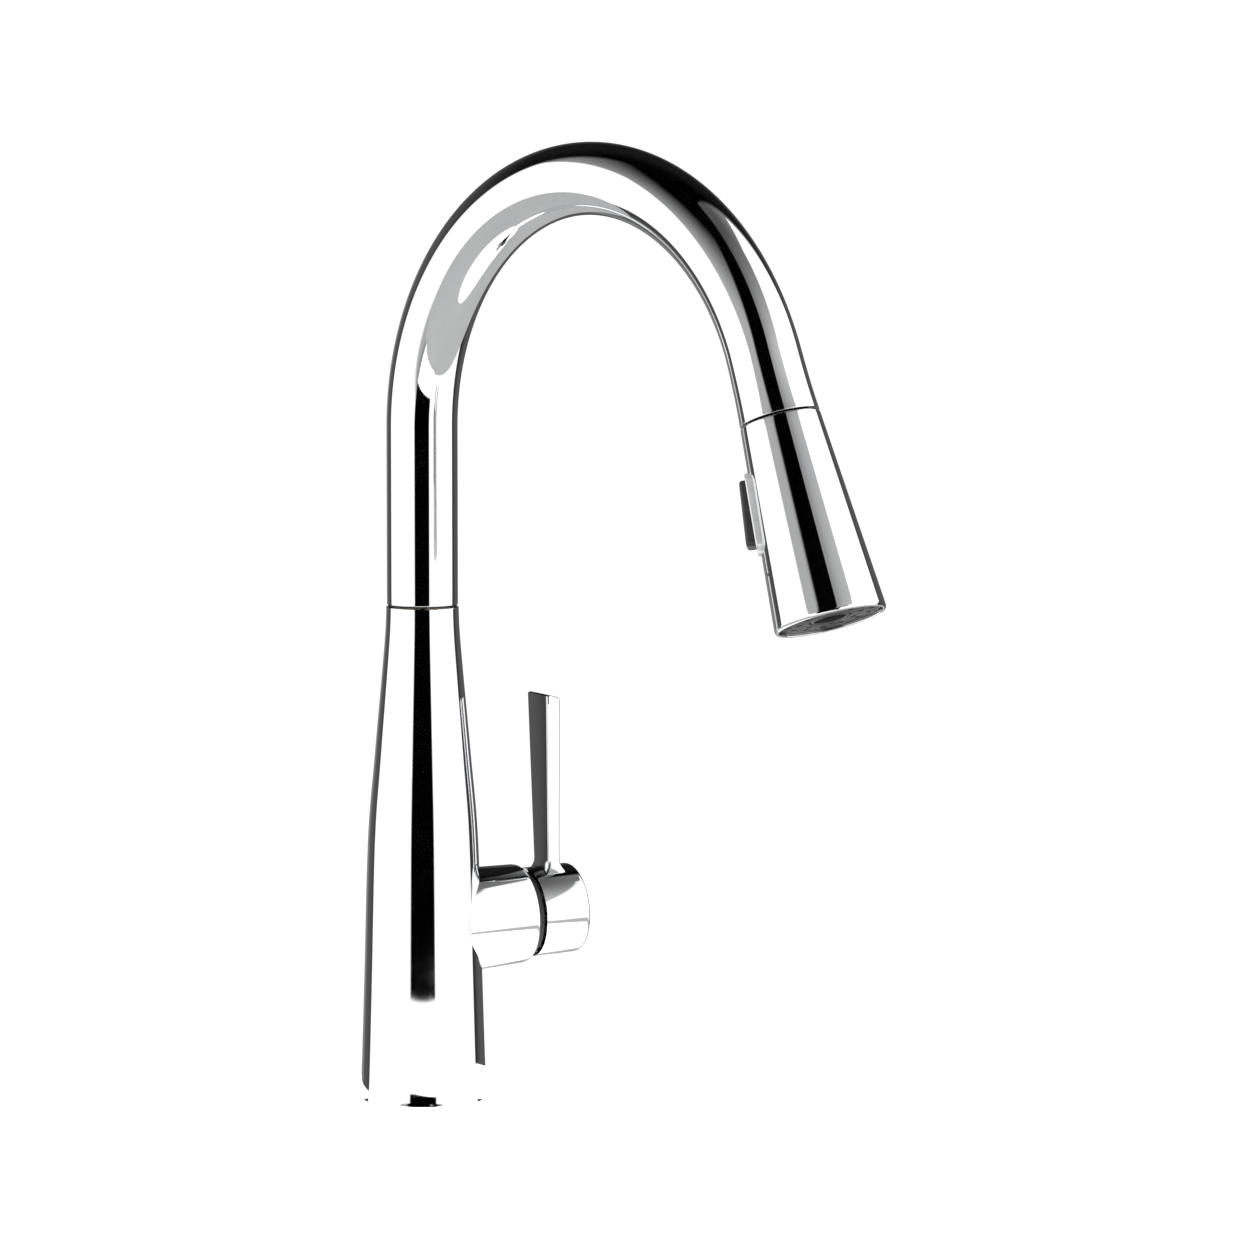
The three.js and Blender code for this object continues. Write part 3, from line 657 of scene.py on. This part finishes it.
def spout_fittings():
    """The set screw and glide washer at the swivel, the bushing and magnet in the dock."""
    at = SPOUT @ Matrix.Translation((0, 0, SCREW_HEIGHT * MM)) @ Matrix.Rotation(-math.pi / 2, 4, "Y")
    socket, screw, inner, floor, outer = 1.1, 2.0, 10.8, 13.2, 14.45
    profile = [(0, inner), (screw, inner), (screw, outer, 0.3), (socket, outer), (socket, floor),
               (0, floor)]
    finished("spout_screw", lathe(profile, at, 24), "spout", STEEL, ["spout_set_screw"])
    washer = tube(12.3, 14.2, BODY_TOP + 0.3, SPOUT_BOTTOM - 0.3)
    finished("glide", washer, "body", BLACK, ["glide_washer"])
    bushing = lathe([(9.6, -24, 0.8), (12.75, -24), (13.75, -6), (11.1, -6, 0.8)], DOCK, 96)
    finished("bushing", bushing, "spout", BLACK, ["dock_bushing"])
    magnet = lathe([(11.5, -5.6, 0.3), (13.8, -5.6, 0.3), (14.0, -1.1, 0.5), (11.5, -1.1, 0.5)], DOCK, 96)
    finished("magnet", magnet, "spout", STEEL, ["dock_magnet"])


# Hose ---------------------------------------------------------------------------------
HOSE_SIDES = 24
STRANDS_AROUND = 8
# Distances along the spout: the piece that is pulled out, and where in it the pull is spread.
TAIL = (SPOUT_LENGTH - 62, SPOUT_LENGTH - 41)
STRETCH = (SPOUT_LENGTH - 58, SPOUT_LENGTH - 42)
HOSE_GAP = 0.3


def hose(name, rows, bend, matrix, body, nodes, lengths=None):
    """A braided hose, whose UV counts its strands across and along."""
    bm = bmesh.new()
    uv = bm.loops.layers.uv.new("UVMap")
    rings = []
    for distance in rows:
        ring = circle(bm, HOSE_RADIUS, distance, HOSE_SIDES)
        for vertex in ring:
            vertex.co = bend(vertex.co)
        rings.append(ring)
    lengths = lengths or rows
    strand = 2 * math.pi * HOSE_RADIUS / STRANDS_AROUND
    for k in range(len(rings) - 1):
        for i in range(HOSE_SIDES):
            j = (i + 1) % HOSE_SIDES
            face = bm.faces.new((rings[k][i], rings[k][j], rings[k + 1][j], rings[k + 1][i]))
            corners = ((i, k), (i + 1, k), (i + 1, k + 1), (i, k + 1))
            for loop, (a, b) in zip(face.loops, corners):
                loop[uv].uv = (a / HOSE_SIDES * STRANDS_AROUND, lengths[b] / strand)
    for ring in (rings[0], rings[-1]):
        bm.faces.new(ring)
    mesh = mesh_of(bm, matrix)
    return finished(name, mesh, body, BRAID, nodes, sharp=60)


def hose_in_spout():
    """The still part of the hose, and the tail that a pull draws out of the dock."""
    rows = [TAIL[0] * k / 180 for k in range(181)]
    hose("hose_in_spout", rows, along_spout, SPOUT, "spout", ["spray_hose_upper"])
    pull = JOINTS["wand_pull"]["range_m"][1] / MM
    start, end = TAIL[0] + HOSE_GAP, TAIL[1]
    rows = [start + (end - start) * k / 420 for k in range(421)]
    stretch = STRETCH[1] - STRETCH[0]
    lengths = [distance + pull * eased((distance - STRETCH[0]) / stretch) for distance in rows]
    tail = hose("hose_tail", rows, along_spout, SPOUT, None, [], lengths)
    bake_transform(tail)


def hose_in_body():
    """The hose down the column, round the valve's housing and through the shank."""
    beside_housing, beside_inlets = -11.5, -7.2
    first_bend = (175, 104)
    second_bend = (47, 17)
    top, bottom = SPOUT_BOTTOM - HOSE_GAP, -112
    length = top - bottom

    def passed(bend, z):
        """How far round a bend the hose is at a height."""
        return eased((bend[0] - z) / (bend[0] - bend[1]))

    def down_body(co):
        z = top - co.z
        x = beside_housing * passed(first_bend, z)
        x += (beside_inlets - beside_housing) * passed(second_bend, z)
        return Vector((co.x + x, co.y, z))

    rows = [length * k / 200 for k in range(201)]
    hose("hose_in_body", rows, down_body, UPRIGHT, "body", ["spray_hose_lower"])


# Wand ---------------------------------------------------------------------------------
WAND_START = 0.75
WAND_LIP = 81.2
FACE_RECESS = 20.6
FACE_SEAT = 78.7
BUTTON_TILT = math.radians(3)


def wand_shell():
    """The cone, hollow and open below, with a window for the button."""
    wall, inner_slope = 2.1, 0.0793

    def inner(distance):
        return WAND_END - wall - (FACE_SEAT - distance) * inner_slope

    steps = 24
    side = [(DOCK_OUTER + (WAND_END - DOCK_OUTER) * k / steps,
             WAND_START + (WAND_LIP - WAND_START) * k / steps) for k in range(1, steps)]
    mouth, top, shoulder = 12.2, 0.35, 3
    outline = [(mouth, top), (15.6, top, 0.3), (DOCK_OUTER, WAND_START, 0.3), *side,
               (WAND_END, WAND_LIP, 0.9), (WAND_END - 0.5, WAND_LENGTH, 0.5),
               (FACE_RECESS, WAND_LENGTH, 0.4), (FACE_RECESS, FACE_SEAT + 0.3),
               (inner(FACE_SEAT), FACE_SEAT), (inner(shoulder), shoulder), (mouth, shoulder)]
    shell = lathe(outline, WAND, 144)
    window = prism(rounded_outline(width=15.6, length=32.6, corner=4.8), -8, 4, BUTTON)
    shell = combined(shell, window, "DIFFERENCE")
    finished("wand_skin", shell, "wand", CHROME, ["wand_shell"])


def button_pieces():
    """The satin bezel, and the rocker in it, tipped to its rest angle."""
    bezel = pad(width=15, length=32, corner=4.5, bottom=-3, top=1.3, edge=0.7, matrix=BUTTON)
    hole = prism(rounded_outline(width=11.8, length=29, corner=2.9), -4, 3, BUTTON)
    finished("bezel", combined(bezel, hole, "DIFFERENCE"), "wand", SATIN, ["button_bezel"])
    about_pin = Matrix.Translation((0, 0, -MM)) @ Matrix.Rotation(BUTTON_TILT, 4, "X")
    at = BUTTON @ about_pin @ Matrix.Translation((0, 0, MM))
    rocker = pad(width=11, length=26.6, corner=2.4, bottom=-1.5, top=4.5, edge=1.3, matrix=at,
                 steps=8, crown=0.12)
    lug = pad(width=3.6, length=2.2, corner=0.5, bottom=-9.2, top=-1.2, edge=0.1, matrix=at)
    rocker = combined(rocker, lug, "UNION")
    finished("rocker", rocker, "button", DARK, ["spray_button"])


def spray_face():
    """The face plate with two rows of holes, and the silicone tips that stand in them."""
    top, back = WAND_LENGTH - 1.1, 79.3
    bore, rim = 8.3, 20.2
    dish = [(rim, top - 0.1, 0.4), (rim - 1, top - 0.35), (15, top - 0.45), (10, top - 0.25),
            (bore, top, 0.4)]
    plate = lathe([(bore, back), (rim, back), *dish], WAND, 128)
    tips = tube(9.2, 19.2, 76.4, 79, WAND, 64)
    for count, row in ((8, 12.4), (14, 16.6)):
        for i in range(count):
            angle = 2 * math.pi * i / count
            at = WAND @ Matrix.Translation((row * math.cos(angle) * MM, row * math.sin(angle) * MM, 0))
            plate = combined(plate, rod(1.25, 78, 83, at, 20), "DIFFERENCE")
            tip = lathe([(0, 78.5), (1.0, 78.5), (0.95, 80.1, 0.2), (0.8, 80.7, 0.2), (0.35, 80.7),
                         (0.3, 79.8), (0, 79.8)], at, 20)
            tips = combined(tips, tip, "UNION")
    finished("face", plate, "wand", BLACK, ["face_plate"])
    finished("nozzles", tips, "wand", SILICONE, ["nozzle_ring"])


def aerator():
    """The round insert in the face's middle, with a honeycomb of six-sided cells."""
    nozzle = lathe([(0, 72), (7.9, 72), (7.9, 80.9, 0.3), (7.3, 81.3, 0.3), (6.4, 81.2, 0.3), (6.4, 79.4),
                    (0, 79.4)], WAND, 64)
    pitch, row_pitch, grid_radius = 2.0, 1.732, 5.6
    for i in range(-3, 4):
        for j in range(-3, 4):
            x, y = pitch * (i + 0.5 * (j % 2)), row_pitch * j
            if math.hypot(x, y) > grid_radius:
                continue
            at = WAND @ Matrix.Translation((x * MM, y * MM, 0)) @ Matrix.Rotation(math.pi / 6, 4, "Z")
            nozzle = combined(nozzle, rod(0.82, 78.3, 80, at, 6), "DIFFERENCE")
    finished("aerator_grid", nozzle, "wand", DARK, ["aerator"])


def wand_neck():
    """The black neck that plugs into the dock, and the brass nut on the hose's end."""
    neck = lathe([(5.2, -23.5), (9.2, -23.5, 0.5), (11.1, -1), (11.6, 0), (11.6, 5.1), (13.6, 5.1),
                  (13.6, 7.6), (5.2, 7.6)], WAND, 96)
    finished("neck", neck, "wand", BLACK, ["wand_neck"])
    nut = lathe([(5.1, -40, 0.3), (7.6, -40, 0.6), (7.6, -30, 0.5), (6.8, -29, 0.4), (6.8, -23.8, 0.3),
                 (5.1, -23.8)], DOCK, 64)
    finished("hose_end_nut", nut, "hose_end", BRASS, ["hose_nut"])


# Below the deck -----------------------------------------------------------------------
def threaded(inner, outer, bottom, top, pitch, depth, matrix=UPRIGHT, sides=64):
    """A tube with a helical thread on its outside."""
    rows = int((top - bottom) / pitch * 6)
    bm = bmesh.new()
    rings = []
    for k in range(rows + 1):
        z = bottom + (top - bottom) * k / rows
        fade = min(1.0, (z - bottom) / pitch, (top - z) / pitch)
        ring = []
        for i in range(sides):
            angle = 2 * math.pi * i / sides
            phase = (z / pitch - i / sides) % 1
            groove = depth * abs(2 * phase - 1)
            radius = outer - depth * (1 - fade) - groove * fade
            ring.append(bm.verts.new((radius * math.cos(angle), radius * math.sin(angle), z)))
        rings.append(ring)
    rings += [circle(bm, inner, z, sides) for z in (top, bottom)]
    bridge(bm, rings, sides)
    return mesh_of(bm, matrix)


def deck_pieces():
    """The gaskets, the threaded shank, and the washer that clamps it."""
    gasket = tube(16.5, 23.7, 0, 1.8, edge=0.4)
    finished("base_gasket", gasket, "body", RUBBER, ["deck_gasket"])
    shank = threaded(inner=13, outer=15.9, bottom=-78, top=16, pitch=1.8, depth=0.8)
    finished("threaded_shank", shank, "body", BRASS, ["shank"], sharp=50)
    gasket = tube(16.4, 26, -34.5, -32, edge=0.6)
    finished("clamp_gasket", gasket, "body", RUBBER, ["under_deck_gasket"])
    washer = lathe([(16.4, -37, 0.3), (26, -37, 0.5), (26, -34.8, 0.5), (16.4, -34.8, 0.3)])
    finished("clamp_washer", washer, "body", STEEL, ["mounting_washer"])


def clamp_screws():
    """The two long screws under the washer, with slotted heads."""
    half_length, half_width = 5, 0.5
    signs = ((-1, -1), (1, -1), (1, 1), (-1, 1))
    slot_outline = [Vector((x * half_length, y * half_width)) for x, y in signs]
    for side, x in (("left", -21), ("right", 21)):
        at = Matrix.Translation((x * MM, 0, 0))
        screw = threaded(inner=0.05, outer=2.5, bottom=-60, top=-38.4, pitch=0.8, depth=0.35,
                         matrix=at, sides=24)
        head = lathe([(0, -63), (4.2, -63, 0.8), (4.2, -60, 0.3), (0, -60)], at, 32)
        head = combined(head, prism(slot_outline, -64, -61.8, at), "DIFFERENCE")
        node_name = f"clamp_screw_{side}"
        finished(f"clamp_screw_thread_{side}", screw, "body", STEEL, [node_name], sharp=50)
        finished(f"clamp_screw_head_{side}", head, "body", STEEL)


def inlets():
    """The hot and cold copper tubes, each with a threaded brass end and a hexagon."""
    for side in ("hot", "cold"):
        low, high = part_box(f"{side}_inlet_nipple")
        at = Matrix.Translation(((low.x + high.x) / 2, (low.y + high.y) / 2, 0))
        pipe = lathe([(2, -84), (3, -84, 0.2), (3, 47.7), (2, 47.7)], at, 40)
        finished(f"{side}_tube", pipe, "body", COPPER, [f"{side}_inlet_tube"])
        nipple = threaded(inner=2.2, outer=4.9, bottom=-100, top=-90.5, pitch=1.4, depth=0.5,
                          matrix=at, sides=40)
        collar = lathe([(4.0, -90.3, 0.2), (5.6, -90.0, 0.3), (5.6, -84.3, 0.5), (3.4, -84.3)], at, 6)
        finished(f"{side}_thread", nipple, "body", BRASS, [f"{side}_inlet_nipple"], sharp=50)
        finished(f"{side}_hexagon", collar, "body", BRASS)


# Surroundings -------------------------------------------------------------------------
# The camera and the lights are placed in metres, the stage in millimetres.
CAMERA_DISTANCE = 3.0
CAMERA_HEIGHT = 0.4717
CAMERA_AZIMUTH = math.radians(24.5)
CAMERA_YAW = math.radians(1.583)
CAMERA_PITCH = math.radians(5.231)
CAMERA_LENS = 211.2
FLOOR_LEVEL = -320
FLOOR_RADIUS = 1200
STAND_RADIUS = 135
STAND_SHIFT = (30, -60)
CARD_REACH = 1150
CARD_TOP = -50
CARD_SPAN = math.radians(50)
MIRRORED_STRENGTH = 1.3
SEEN_STRENGTH = 1.05


def make_camera():
    """A long lens from far off, a little above the faucet."""
    data = bpy.data.cameras.new("camera")
    data.sensor_width = 36
    data.lens = CAMERA_LENS
    data.clip_end = 50
    camera = bpy.data.objects.new("camera", data)
    heading = CAMERA_AZIMUTH + CAMERA_YAW
    level = math.cos(CAMERA_PITCH)
    ahead = Vector((math.sin(heading) * level, math.cos(heading) * level, -math.sin(CAMERA_PITCH)))
    camera.location = (-CAMERA_DISTANCE * math.sin(CAMERA_AZIMUTH),
                       -CAMERA_DISTANCE * math.cos(CAMERA_AZIMUTH), CAMERA_HEIGHT)
    camera.rotation_euler = ahead.to_track_quat("-Z", "Y").to_euler()
    bpy.context.scene.collection.objects.link(camera)
    bpy.context.scene.camera = camera


def stage_material(name, shade, glow):
    """Matt card of a grey shade, which may glow a little to stay white."""
    material, shader = new_material(name, (shade, shade, shade), 0.0, 0.9)
    shader.inputs["Emission Color"].default_value = (1, 1, 1, 1)
    shader.inputs["Emission Strength"].default_value = glow
    grain = object_noise(material, 30, 2.0)
    tint = coloured(material, grain, "Fac", (shade * 0.985,) * 3, (shade * 1.015,) * 3)
    link(material, tint, "Color", shader, "Base Color")
    return material


def stand_mesh():
    """A white drum up to the deck plane, with a pit for the parts below the deck."""
    at = Matrix.Translation((STAND_SHIFT[0] * MM, STAND_SHIFT[1] * MM, 0))
    drum = lathe([(0, FLOOR_LEVEL), (STAND_RADIUS, FLOOR_LEVEL), (STAND_RADIUS, 0, 2), (0, 0)], at, 160)
    pit, mouth = 28, 17
    below = FLOOR_LEVEL - 5
    way = lathe([(0, below), (pit, below), (pit, -1), (mouth, -1), (mouth, 5), (0, 5)])
    return combined(drum, way, "DIFFERENCE")


def card_mesh():
    """A low wall that bows round the front of the floor."""
    steps, outer = 32, CARD_REACH + 6
    outline = ((CARD_REACH, FLOOR_LEVEL), (outer, FLOOR_LEVEL), (outer, CARD_TOP), (CARD_REACH, CARD_TOP))
    sections = []
    for k in range(steps + 1):
        angle = -math.pi / 2 - CAMERA_AZIMUTH + CARD_SPAN * (k / steps - 0.5)
        sections.append([Vector((r * math.cos(angle), r * math.sin(angle), z)) for r, z in outline])
    return loft(sections, UPRIGHT)


def make_stage():
    """A pale floor, a white stand, and a low white card that is only seen in the chrome."""
    white = stage_material("white_stand", 0.9, 0.6)
    pale = stage_material("pale_floor", 0.42, 0.0)
    floor = rod(FLOOR_RADIUS, -10, 0, Matrix.Translation((0, 0, FLOOR_LEVEL * MM)), 96)
    stage = (("floor", floor, pale), ("stand", stand_mesh(), white), ("card", card_mesh(), white))
    for name, mesh, material in stage:
        piece = bpy.data.objects.new(name, mesh)
        mesh.materials.append(material)
        bpy.context.scene.collection.objects.link(piece)
        piece.visible_camera = name != "card"


class Studio:
    """The world's nodes: the light that comes from each direction, worked out by sums.

    right, away and height are a direction's parts as the camera sees them. u and v say
    where it meets an upright plane at either side: how far forward, and how high.
    """

    def __init__(self, tree):
        self.tree = tree
        tree.nodes.clear()
        place = self.add("ShaderNodeTexCoord")
        turn = self.add("ShaderNodeMapping")
        turn.inputs["Rotation"].default_value = (0, 0, CAMERA_AZIMUTH)
        tree.links.new(place.outputs["Generated"], turn.inputs["Vector"])
        split = self.add("ShaderNodeSeparateXYZ")
        tree.links.new(turn.outputs["Vector"], split.inputs["Vector"])
        self.right, away, self.height = (split.outputs[axis] for axis in "XYZ")
        self.front = self.times(away, -1.0)
        aside = self.calc("MAXIMUM", self.calc("ABSOLUTE", self.right), 0.02)
        self.u = self.calc("DIVIDE", self.front, aside)
        self.v = self.calc("DIVIDE", self.height, aside)

    def add(self, kind, **settings):
        """Adds a node with some of its own properties set."""
        made = self.tree.nodes.new(kind)
        for key, value in settings.items():
            setattr(made, key, value)
        return made

    def put(self, socket, value):
        """Sets a socket to a number, or links another socket to it."""
        if isinstance(value, (int, float)):
            socket.default_value = value
        else:
            self.tree.links.new(value, socket)

    def calc(self, operation, a, b=0.0):
        """One step of arithmetic."""
        made = self.add("ShaderNodeMath", operation=operation)
        self.put(made.inputs[0], a)
        self.put(made.inputs[1], b)
        return made.outputs["Value"]

    def times(self, first, *others):
        """The product of two or more values."""
        for other in others:
            first = self.calc("MULTIPLY", first, other)
        return first

    def brightest(self, first, *others):
        """The largest of two or more values."""
        for other in others:
            first = self.calc("MAXIMUM", first, other)
        return first

    def spread(self, value, low, high, to_low=0.0, to_high=1.0, kind="SMOOTHSTEP"):
        """Goes from to_low to to_high while the value goes from low to high, and stays there."""
        made = self.add("ShaderNodeMapRange", interpolation_type=kind)
        numbers = {"Value": value, "From Min": low, "From Max": high,
                   "To Min": to_low, "To Max": to_high}
        for socket, number in numbers.items():
            self.put(made.inputs[socket], number)
        return made.outputs["Result"]

    def ramped(self, value, low, high, to_low, to_high):
        """The same, in a straight line."""
        return self.spread(value, low, high, to_low, to_high, "LINEAR")

    def left_panel(self):
        """A bright panel whose top falls towards the front, under a dim glow."""
        over_top = self.calc("SUBTRACT", self.v, self.ramped(self.u, 0.0, 1.2, 0.62, 0.16))
        over_foot = self.calc("SUBTRACT", self.v, self.ramped(self.u, 0.0, 1.2, -0.7, -0.35))
        core = self.times(self.spread(over_top, 0.0, 0.12, 1.0, 0.0),
                          self.spread(over_foot, -0.3, 0.0, 0.25, 1.0),
                          self.spread(self.u, 1.95, 2.3, 1.0, 0.0),
                          self.spread(self.u, -0.63, -0.55))
        glow = self.times(self.ramped(self.height, 0.4, 0.88, 0.36, 0.0),
                          self.spread(self.u, 1.45, 1.95, 1.0, 0.0),
                          self.spread(self.u, -0.72, -0.42))
        return self.times(self.brightest(core, glow), self.spread(self.right, -0.03, 0.0, 1.0, 0.0))

    def right_panel(self):
        """A taller panel with a slanted back edge, under a glow that reaches further forward."""
        top = self.brightest(self.ramped(self.u, 0.0, 1.4, 1.73, 0.26),
                             self.ramped(self.u, 1.15, 1.35, 0.72, 0.2))
        over_top = self.calc("SUBTRACT", self.v, top)
        from_back = self.calc("SUBTRACT", self.u, self.ramped(self.v, 0.0, 0.45, -0.42, -0.92))
        core = self.times(self.spread(over_top, 0.0, 0.15, 1.0, 0.0),
                          self.spread(self.u, 2.2, 2.55, 1.0, 0.0),
                          self.spread(from_back, -0.06, 0.02))
        glow = self.times(self.ramped(self.height, 0.55, 0.97, 0.46, 0.07),
                          self.ramped(self.u, 1.0, 3.0, 1.0, 0.62),
                          self.spread(self.u, 4.2, 5.4, 1.0, 0.0),
                          self.spread(self.v, 0.5, 0.95),
                          self.spread(from_back, -0.3, 0.1))
        return self.times(self.brightest(core, glow), self.spread(self.right, 0.0, 0.03))

    def back_wall(self):
        """A faint light behind the faucet, and a stronger one in its left corner."""
        behind = self.times(self.spread(self.front, -0.75, -0.3, 0.075, 0.0),
                            self.spread(self.height, 0.1, 0.5, 1.0, 0.1))
        corner = self.times(self.spread(self.front, -0.95, -0.72, 0.2, 0.0),
                            self.spread(self.right, -0.2, 0.0, 1.0, 0.0),
                            self.spread(self.height, 0.0, 0.25, 1.0, 0.0))
        return self.brightest(behind, corner)


def make_world():
    """A dark studio with a tall soft panel on each side. The camera itself sees white."""
    world = bpy.data.worlds.new("studio")
    world.use_nodes = True
    bpy.context.scene.world = world
    studio = Studio(world.node_tree)
    mirrored = studio.add("ShaderNodeBackground")
    level = studio.brightest(studio.left_panel(), studio.right_panel(), studio.back_wall())
    studio.put(mirrored.inputs["Color"], level)
    mirrored.inputs["Strength"].default_value = MIRRORED_STRENGTH
    seen = studio.add("ShaderNodeBackground")
    seen.inputs["Color"].default_value = (1, 1, 1, 1)
    seen.inputs["Strength"].default_value = SEEN_STRENGTH
    path = studio.add("ShaderNodeLightPath")
    mix = studio.add("ShaderNodeMixShader")
    output = studio.add("ShaderNodeOutputWorld")
    studio.put(mix.inputs["Fac"], path.outputs["Is Glossy Ray"])
    studio.put(mix.inputs[1], seen.outputs["Background"])
    studio.put(mix.inputs[2], mirrored.outputs["Background"])
    studio.put(output.inputs["Surface"], mix.outputs["Shader"])


def make_lights():
    """Two large soft lights, which the chrome doesn't mirror."""
    target = Vector((0, 0, 0.15))
    key = ("key", Vector((-1.6, -1.4, 2.2)), 1.4, 18)
    fill = ("fill", Vector((1.8, -0.6, 1.6)), 1.6, 10)
    for name, place, size, power in (key, fill):
        data = bpy.data.lights.new(name, "AREA")
        data.size = size
        data.energy = power
        light = bpy.data.objects.new(name, data)
        light.location = place
        light.rotation_euler = (target - place).to_track_quat("-Z", "Y").to_euler()
        light.visible_glossy = False
        bpy.context.scene.collection.objects.link(light)


make_camera()
make_world()
make_lights()
make_stage()
bpy.context.scene.view_settings.view_transform = "Standard"
dress_frame()
faucet_body()
handle_pieces()
handle_lever()
spout_tube()
spout_fittings()
hose_in_spout()
hose_in_body()
wand_shell()
button_pieces()
spray_face()
aerator()
wand_neck()
deck_pieces()
clamp_screws()
inlets()
